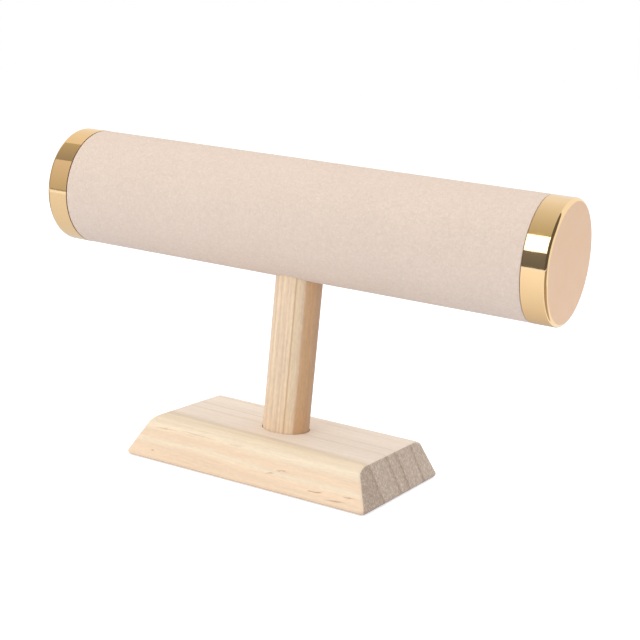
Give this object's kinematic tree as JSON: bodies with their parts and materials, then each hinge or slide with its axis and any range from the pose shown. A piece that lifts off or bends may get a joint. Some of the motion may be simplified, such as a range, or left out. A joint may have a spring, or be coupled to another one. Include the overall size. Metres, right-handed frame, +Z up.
{
  "type": "bracelet display stand",
  "caption": "T-shaped bracelet display stand: a suede-covered roll with polished metal end caps on a round wooden post and a bevelled wooden base.",
  "frame": {"origin": "centre of the base's underside, under the post's axis", "axes": "+X along the roll, +Y across the base, +Z up along the post"},
  "size_m": [0.278, 0.0844, 0.1581],
  "materials": {
    "base_pine": "sanded, unvarnished",
    "post_pine": "turned, sanded, unvarnished",
    "core_card": "matte, wound",
    "block_wood": "rough turned",
    "cover_suede": "soft napped microfibre suede",
    "cap_gold": "polished skirt, fine satin end face"
  },
  "bodies": {
    "root": {"base": "base_pine", "post": "post_pine", "core_tube": "core_card", "socket_block": "block_wood", "cover": "cover_suede", "end_cap_left": "cap_gold", "end_cap_right": "cap_gold"}
  },
  "joints": []
}
